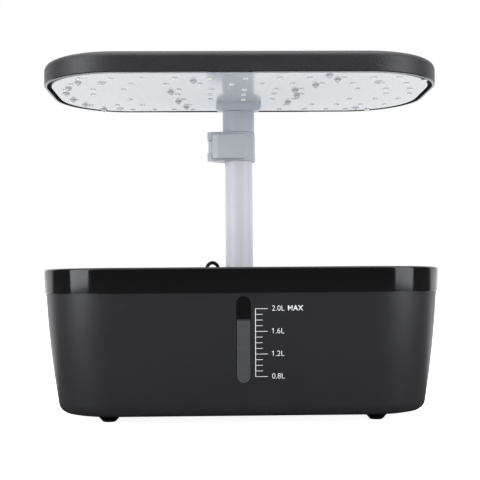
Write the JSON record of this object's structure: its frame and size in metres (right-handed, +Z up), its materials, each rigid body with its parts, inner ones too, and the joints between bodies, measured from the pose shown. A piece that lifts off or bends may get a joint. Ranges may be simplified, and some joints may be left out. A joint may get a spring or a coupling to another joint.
{
  "type": "countertop hydroponic garden",
  "caption": "Countertop hydroponic garden: tapered water tank on feet, lift-off planting deck with baskets and pump, and a wide lamp on a telescopic pole with a clamp lever.",
  "frame": {"origin": "on the surface that it stands on, under the middle of the tank", "axes": "+Z up, -Y the front with the water window, +X to the right seen from the front"},
  "size_m": [0.2712, 0.1422, 0.2416],
  "materials": {
    "tank_plastic": "fine textured black",
    "deck_gloss": "polished black",
    "basket_plastic": "smooth black",
    "smoked_clear": "smoked clear",
    "black_rubber": "matte",
    "grey_plastic": "satin light grey",
    "lever_plastic": "satin pale grey",
    "silver_tube": "satin anodised",
    "steel": "bright",
    "board_white": "white gloss solder mask",
    "circuit_board": "green solder mask"
  },
  "bodies": {
    "tank": {"tank_shell": "tank_plastic", "water_window": "smoked_clear", "window_seal": "black_rubber", "front_left_foot": "black_rubber", "front_right_foot": "black_rubber", "rear_left_foot": "black_rubber", "rear_right_foot": "black_rubber"},
    "planting_deck": {"deck": "deck_gloss", "lid_hinge_pin": "steel", "indicator_lens": "smoked_clear", "control_board": "circuit_board", "power_inlet": "black_rubber", "control_box_cover": "tank_plastic", "cover_screw_1": "steel", "cover_screw_2": "steel", "cover_screw_3": "steel", "cover_screw_4": "steel", "pump_body": "tank_plastic", "pump_cover": "tank_plastic", "pump_lead": "black_rubber", "lead_grommet": "black_rubber", "outer_tube": "silver_tube", "clamp_collar": "grey_plastic", "clamp_pad": "black_rubber", "lever_pin": "steel", "lamp_lead_root": "black_rubber", "lamp_lead_coil": "black_rubber"},
    "lamp": {"inner_tube": "silver_tube", "guide_bush": "grey_plastic", "lamp_bracket": "grey_plastic", "bracket_screw_1": "steel", "bracket_screw_2": "steel", "lamp_housing": "tank_plastic", "light_board": "board_white", "board_screw_1": "steel", "board_screw_2": "steel", "board_screw_3": "steel", "board_screw_4": "steel"},
    "lever": {"clamp_lever": "lever_plastic"},
    "lid": {"fill_lid": "deck_gloss"},
    "light_switch_button": {"light_button": "grey_plastic"},
    "pump_switch_button": {"pump_button": "grey_plastic"},
    "impeller": {"pump_impeller": "grey_plastic"},
    "basket_1": {"grow_basket_1": "basket_plastic"},
    "basket_2": {"grow_basket_2": "basket_plastic"},
    "basket_3": {"grow_basket_3": "basket_plastic"},
    "basket_4": {"grow_basket_4": "basket_plastic"},
    "basket_5": {"grow_basket_5": "basket_plastic"},
    "basket_6": {"grow_basket_6": "basket_plastic"},
    "basket_7": {"grow_basket_7": "basket_plastic"},
    "basket_8": {"grow_basket_8": "basket_plastic"}
  },
  "joints": [
    {"name": "deck_lift", "type": "slide", "parent": "tank", "child": "planting_deck", "axis": [0, 0, 1], "range_m": [0, 0.095]},
    {"name": "lamp_height", "type": "slide", "parent": "planting_deck", "child": "lamp", "axis": [0, 0, 1], "range_m": [0, 0.086], "deforming": ["lamp_lead_coil"]},
    {"name": "clamp_lever_swing", "type": "hinge", "parent": "planting_deck", "child": "lever", "pos_m": [-0.0198, 0.0435, 0.195], "axis": [0, 0, -1], "range_deg": [0, 110]},
    {"name": "fill_lid_hinge", "type": "hinge", "parent": "planting_deck", "child": "lid", "pos_m": [0.1204, 0, 0.0987], "axis": [0, 1, 0], "range_deg": [0, 110]},
    {"name": "light_button_press", "type": "slide", "parent": "planting_deck", "child": "light_switch_button", "axis": [0, 0, -1], "range_m": [0, 0.001], "stiffness_N_per_m": 600},
    {"name": "pump_button_press", "type": "slide", "parent": "planting_deck", "child": "pump_switch_button", "axis": [0, 0, -1], "range_m": [0, 0.001], "stiffness_N_per_m": 600},
    {"name": "impeller_spin", "type": "hinge", "parent": "planting_deck", "child": "impeller", "pos_m": [0, 0.0335, 0.024], "axis": [0, 1, 0], "continuous": true},
    {"name": "basket_1_lift", "type": "slide", "parent": "planting_deck", "child": "basket_1", "axis": [0, 0, 1], "range_m": [0, 0.05]},
    {"name": "basket_2_lift", "type": "slide", "parent": "planting_deck", "child": "basket_2", "axis": [0, 0, 1], "range_m": [0, 0.05]},
    {"name": "basket_3_lift", "type": "slide", "parent": "planting_deck", "child": "basket_3", "axis": [0, 0, 1], "range_m": [0, 0.05]},
    {"name": "basket_4_lift", "type": "slide", "parent": "planting_deck", "child": "basket_4", "axis": [0, 0, 1], "range_m": [0, 0.05]},
    {"name": "basket_5_lift", "type": "slide", "parent": "planting_deck", "child": "basket_5", "axis": [0, 0, 1], "range_m": [0, 0.05]},
    {"name": "basket_6_lift", "type": "slide", "parent": "planting_deck", "child": "basket_6", "axis": [0, 0, 1], "range_m": [0, 0.05]},
    {"name": "basket_7_lift", "type": "slide", "parent": "planting_deck", "child": "basket_7", "axis": [0, 0, 1], "range_m": [0, 0.05]},
    {"name": "basket_8_lift", "type": "slide", "parent": "planting_deck", "child": "basket_8", "axis": [0, 0, 1], "range_m": [0, 0.05]}
  ]
}
